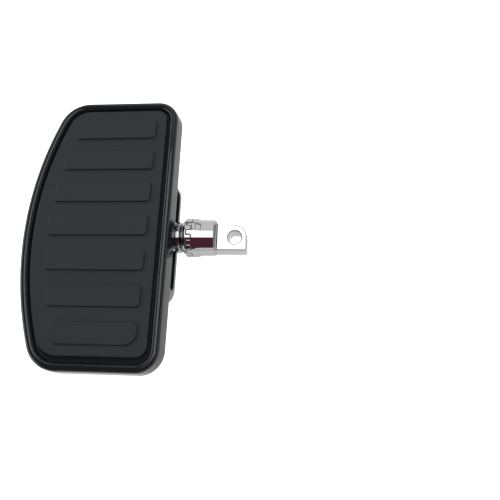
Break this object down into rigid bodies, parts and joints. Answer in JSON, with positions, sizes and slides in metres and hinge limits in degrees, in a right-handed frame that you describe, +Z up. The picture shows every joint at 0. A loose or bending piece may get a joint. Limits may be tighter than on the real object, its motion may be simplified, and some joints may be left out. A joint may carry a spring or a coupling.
{
  "type": "motorcycle floorboard",
  "caption": "Motorcycle rider floorboard: pressed pan with a ribbed rubber tread, on a welded slotted bracket and an indexed chrome peg mount.",
  "frame": {"origin": "centre of the clevis pin bore in the peg mount's tongue", "axes": "+X to the motorcycle, +Y forwards along the board's length, +Z up along the clevis pin bore and square to the deck"},
  "size_m": [0.162, 0.2044, 0.0412],
  "materials": {
    "pan_paint": "gloss black",
    "bracket_paint": "gloss black over mill surface",
    "weld_paint": "gloss black over weld beads",
    "pad_rubber": "matt moulded",
    "stud_zinc": "bright zinc",
    "mount_chrome": "polished",
    "bolt_zinc": "bright zinc"
  },
  "bodies": {
    "mount": {"peg_mount": "mount_chrome", "index_collar": "mount_chrome", "clamp_bolt": "bolt_zinc"},
    "spacer": {"spacer_ring": "mount_chrome"},
    "board": {"deck_pan": "pan_paint", "tread_pad": "pad_rubber", "mount_bracket": "bracket_paint", "pad_stud_front_inner": "stud_zinc", "pad_stud_front_outer": "stud_zinc", "pad_stud_rear_inner": "stud_zinc", "pad_stud_rear_outer": "stud_zinc", "weld_front_outside_1": "weld_paint", "weld_front_outside_2": "weld_paint", "weld_front_inside_1": "weld_paint", "weld_front_inside_2": "weld_paint", "weld_rear_outside_1": "weld_paint", "weld_rear_outside_2": "weld_paint", "weld_rear_inside_1": "weld_paint", "weld_rear_inside_2": "weld_paint"}
  },
  "joints": [
    {"name": "tilt", "type": "hinge", "parent": "mount", "child": "spacer", "pos_m": [-0.043, 0.0015, 0], "axis": [1, 0, 0], "range_deg": [-90, 90]},
    {"name": "fore_aft", "type": "slide", "parent": "spacer", "child": "board", "axis": [0, 1, 0], "range_m": [-0.0257, 0.0285]}
  ]
}
